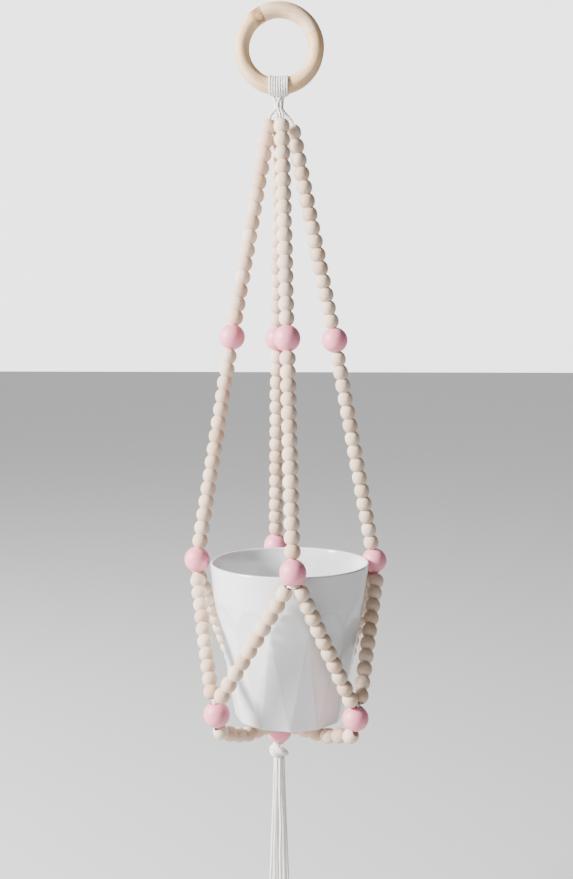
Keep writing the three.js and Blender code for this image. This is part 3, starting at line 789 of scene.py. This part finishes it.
def makeRing():
    # At the turn t the section's radius is r = side + (foot - side) sin^2 t, and a point is
    # ((A + r cos w) cos t, depth/2 sin w, (B + r cos w) sin t) about the ring's middle, where A and B
    # are half the width and height of the centre line. A few sines make it a little uneven.
    low, high = cornersOf("wooden_ring")
    middle = spot(0, 0, (low[2] + high[2]) / 2)
    t = np.linspace(0, 2 * np.pi, ringSize["stations"], endpoint=False)[:, None]
    w = np.linspace(0, 2 * np.pi, ringSize["columns"], endpoint=False)[None, :]
    side = (ringSize["wide"] - ringSize["eyeWide"]) / 4
    foot = (ringSize["tall"] - ringSize["eyeTall"]) / 4
    uneven = 0.08 * np.sin(3 * t + 1.0) + 0.05 * np.sin(7 * t + 2 * w) + 0.04 * np.sin(11 * t - w)
    r = side + (foot - side) * np.sin(t) ** 2 + uneven
    reachWide = (ringSize["wide"] + ringSize["eyeWide"]) / 4
    reachTall = (ringSize["tall"] + ringSize["eyeTall"]) / 4
    x = (reachWide + r * np.cos(w)) * np.cos(t)
    z = (reachTall + r * np.cos(w)) * np.sin(t)
    y = (ringSize["depth"] / 2 + uneven) * np.sin(w)
    points = np.stack([x, y, z], -1).reshape(-1, 3) * mm + middle
    quads, _ = outwardFaces(points, gridFaces(*r.shape, wrapRows=True), np.zeros((0, 3), int))
    acrossRing = ringSize["depth"] / 2 * np.sin(w)
    grain = np.stack(np.broadcast_arrays(reachWide * t, r * np.cos(w), acrossRing), -1)
    own = {"grain": grain.reshape(-1, 3), "turn": np.degrees(np.broadcast_to(t, r.shape)).ravel()}
    piece = makePiece("bent_wood_ring", points, quads, None, own, finishes["ringWood"])
    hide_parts("wooden_ring")
    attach(piece, "ring")
    print("ring made")


makeRing()

# ---- The pot: a tapered vessel, round at its rim, with flat facets cut into it from the foot up.
potShape = {"around": 480, "wallRows": 120, "facets": 12, "turn": 273.6, "sides": 0.63, "peak": 0.77,
            "softness": 0.1, "wall": 3.2, "bendBelow": 27, "bendIn": 2.2, "ease": 0.35, "easeReach": 14,
            "creaseDepth": 0.35, "firstRow": 1.3, "lastRow": 1.6}


def profileRadius(height):
    # The round wall's radius at a height above the foot: steep down to the bend, then tapered, with
    # the bend eased by a small Gaussian.
    total, rim, foot = potSize["height"] / mm, potSize["rimRadius"] / mm, potSize["footRadius"] / mm
    bend = total - potShape["bendBelow"]
    steep = np.interp(height, [0, bend, total], [foot, rim - potShape["bendIn"], rim])
    return steep - potShape["ease"] * np.exp(-((height - bend) / potShape["easeReach"]) ** 2)


def facetedRadius(turn, height):
    # Twelve kites stand on the foot's corners, with triangles between them. With a and b the angles
    # from the nearest corner and from the middle between corners, the radius is the smallest of the
    # round wall's, kite(h) / cos a and triangle(h) / cos b. The smallest is taken softly, as
    # least - soft log(sum exp(-(r - least) / soft)).
    total, foot = potSize["height"] / mm, potSize["footRadius"] / mm
    step = 2 * np.pi / potShape["facets"]
    turned = turn - np.radians(potShape["turn"])
    fromCorner = (turned + step / 2) % step - step / 2
    fromMiddle = turned % step - step / 2
    sides, peak = potShape["sides"] * total, potShape["peak"] * total
    atSides = profileRadius(sides) * np.cos(step / 2)
    kite = np.interp(height, [0, sides, peak, total], [foot, atSides, profileRadius(peak), 2 * total])
    chord = foot * np.cos(step / 2)
    triangle = chord + (profileRadius(sides) - chord) * height / sides
    wall = np.broadcast_to(profileRadius(height), turn.shape)
    reaches = np.stack([wall, kite / np.cos(fromCorner), triangle / np.cos(fromMiddle)])
    least = reaches.min(0)
    soft = potShape["softness"]
    return least - soft * np.log(np.exp(-(reaches - least) / soft).sum(0)), np.sort(reaches, 0)


def makePot():
    # Rings of (r cos a, r sin a, height) from the middle of the foot, up the outside, over the lip and
    # down the inside to the middle of the floor. The outside has the facets.
    total = potSize["height"] / mm
    columns = potShape["around"]
    turn = np.linspace(0, 2 * np.pi, columns, endpoint=False)[None, :]
    first, last = potShape["firstRow"], total - potShape["lastRow"]
    heights = np.linspace(first, last, potShape["wallRows"])[:, None]
    wallTurn, wallHeight = np.broadcast_arrays(turn, heights)
    outer, ordered = facetedRadius(wallTurn, wallHeight)
    crease = np.clip(1 - (ordered[1] - ordered[0]) / potShape["creaseDepth"], 0, 1)
    foot = outer[:1]
    rim = profileRadius(total)
    hollow = ((3.0, 1.2), (20.0, 1.2), (35.5, 1.2), (36.6, 0.9), (37.2, 0.05), (38.6, 0.0))
    below = [(foot * 0 + r, h) for r, h in hollow]
    below += [(foot - 1.7, 0.0), (foot - 0.7, 0.15), (foot - 0.15, 0.65)]
    lip = [(rim - 0.05, total - 1.0), (rim - 0.45, total - 0.35), (rim - 1.1, total),
           (rim - 1.75, total - 0.3), (rim - 2.1, total - 1.1), (rim - 2.5, total - 3.5)]
    inner = [(profileRadius(h) - potShape["wall"], h) for h in np.linspace(total - 8, 12, 22)]
    floorEdge = profileRadius(6) - potShape["wall"]
    cove = [(floorEdge - 0.2, 9.5), (floorEdge - 1.2, 7.2), (floorEdge - 3.0, 5.5), (floorEdge - 6, 5.0),
            (20.0, 5.0), (3.0, 5.0)]
    rows = [(np.broadcast_to(r, (1, columns)), h) for r, h in below]
    rows += [(outer[i:i + 1], wallHeight[i, 0]) for i in range(len(outer))]
    rows += [(np.full((1, columns), r), h) for r, h in lip + inner + cove]
    radius = np.vstack([r for r, _ in rows])
    height = np.array([h for _, h in rows])[:, None]
    ring = np.stack([radius * np.cos(turn), radius * np.sin(turn), np.broadcast_to(height, radius.shape)], -1)
    points = np.vstack([ring.reshape(-1, 3), [(0, 0, 1.2)], [(0, 0, 5.0)]]) * mm
    points = points + spot(potAxis[0], potAxis[1], potFoot)
    count = len(rows) * columns
    tips = np.vstack([capFaces(0, columns, count)[:, ::-1], capFaces(len(rows) - 1, columns, count + 1)])
    quads, tips = outwardFaces(points, gridFaces(len(rows), columns), tips)
    edge = np.zeros(radius.shape)
    edge[len(below):len(below) + len(outer)] = crease
    bare = np.zeros(radius.shape)
    # Painted shadow: these rows carry the brown shadow line at the foot, as well as the bare clay's
    # roughness.
    bare[4:7] = 1  # the ring that the pot stands on
    own = {"crease": np.concatenate([edge.ravel(), [0, 0]]), "bare": np.concatenate([bare.ravel(), [0, 0]])}
    piece = makePiece("faceted_pot", points, quads, tips, own, finishes["whiteGlaze"])
    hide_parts("ceramic_pot")
    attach(piece, "pot")
    print("pot thrown")


makePot()


# ---- A pale floor below, and soft light from the left and in front.
def areaLight(name, place, aim, size, power, tint):  # a round light that faces its aim
    light = bpy.data.lights.new(name, "AREA")
    light.shape = "DISK"
    light.size = size
    light.energy = power
    light.color = tint
    lamp = bpy.data.objects.new(name, light)
    lamp.location = place
    direction = spot(*aim) - spot(*place)
    level = np.hypot(direction[0], direction[1])
    turned = np.arctan2(direction[1], direction[0]) - np.pi / 2
    lamp.rotation_euler = (np.arctan2(level, -direction[2]), 0, turned)
    bpy.context.scene.collection.objects.link(lamp)


stageLight = {"front": 0.12, "behind": 3.0, "left": 0.25, "key": 225, "fill": 0.5, "floorGlow": 0.3,
              "behindStep": (0.78, 0.93), "leftStep": (0.3, -0.9)}
stageFloor = {"reach": 12.0, "below": 0.04}


def paleRoom():
    # The room's brightness is front + behind times a step of y + left times a step of -x, by direction.
    world = bpy.data.worlds.new("paleRoom")
    world.use_nodes = True
    room = Nodes(world.node_tree)
    sight = room.term(room.node("ShaderNodeTexCoord"), "Generated")
    direction = room.node("ShaderNodeSeparateXYZ", None, {0: sight})

    def step(axis, low, high):
        return room.term(room.node("ShaderNodeMapRange", {"interpolation_type": "SMOOTHSTEP"},
                                   {0: room.term(direction, axis), 1: low, 2: high}))

    behind, left = step("Y", *stageLight["behindStep"]), step("X", *stageLight["leftStep"])
    shine = room.tree.nodes["Background"].inputs
    room.feed(shine["Color"], (0.98, 0.99, 1.0, 1))
    room.feed(shine["Strength"],
              stageLight["front"] + stageLight["behind"] * behind + stageLight["left"] * left)
    bpy.context.scene.world = world


def setStage():
    glow = {"Emission Color": (1, 1, 1, 1), "Emission Strength": stageLight["floorGlow"]}
    finish = Finish("paleFloor", {"Roughness": 0.9, **glow})
    cloud = finish.noise(finish.place(), 3.0)
    finish.colour(finish.blendColours(cloud, paint(190, 190, 190), paint(194, 194, 194)))
    reach, low = stageFloor["reach"], cadBox[0][2] - stageFloor["below"]
    points = np.array([(x * reach, y * reach, low) for x, y in ((-1, -1), (1, -1), (1, 1), (-1, 1))])
    floor = makePiece("floor", points, np.array([[0, 1, 2, 3]]), None, None, finish.material)
    paleRoom()
    aim = (0.0, 0.0, -0.35)
    areaLight("keyLight", (-1.75, -0.75, 0.5), aim, 0.7, stageLight["key"], (1.0, 0.985, 0.965))
    areaLight("fillLight", (1.3, -1.5, 0.1), aim, 1.2, stageLight["fill"], (0.96, 0.98, 1.0))
    print("stage lit")


setStage()
